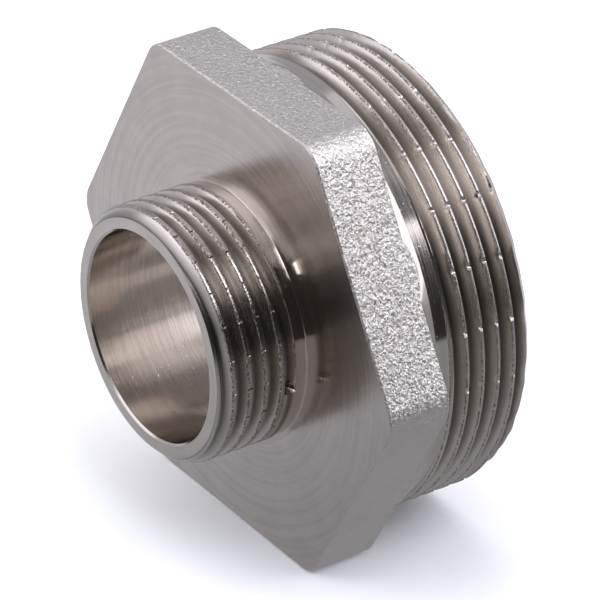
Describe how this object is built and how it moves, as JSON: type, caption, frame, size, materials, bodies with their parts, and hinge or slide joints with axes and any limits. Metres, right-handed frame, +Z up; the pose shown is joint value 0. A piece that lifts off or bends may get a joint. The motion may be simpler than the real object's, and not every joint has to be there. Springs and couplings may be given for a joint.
{
  "type": "reducing hex nipple",
  "caption": "Reducing hex nipple: one nickel-plated brass body with a hexagon between a large and a small male pipe thread, and a stepped bore right through.",
  "frame": {"origin": "on the bore axis, in the hexagon's front face, where the small neck grows out of it", "axes": "the bore axis lies along Y: the small G1 end points to -Y and the large G2 end to +Y; +Z is up, square to two of the hexagon's flats, so the part lies on its lower flat"},
  "size_m": [0.068, 0.0367, 0.06],
  "materials": {
    "nickel_plate": "nickel-plated brass, turned on the faces and threads, rough as forged on the hexagon's flats"
  },
  "bodies": {
    "root": {"nipple_body": "nickel_plate"}
  },
  "joints": []
}
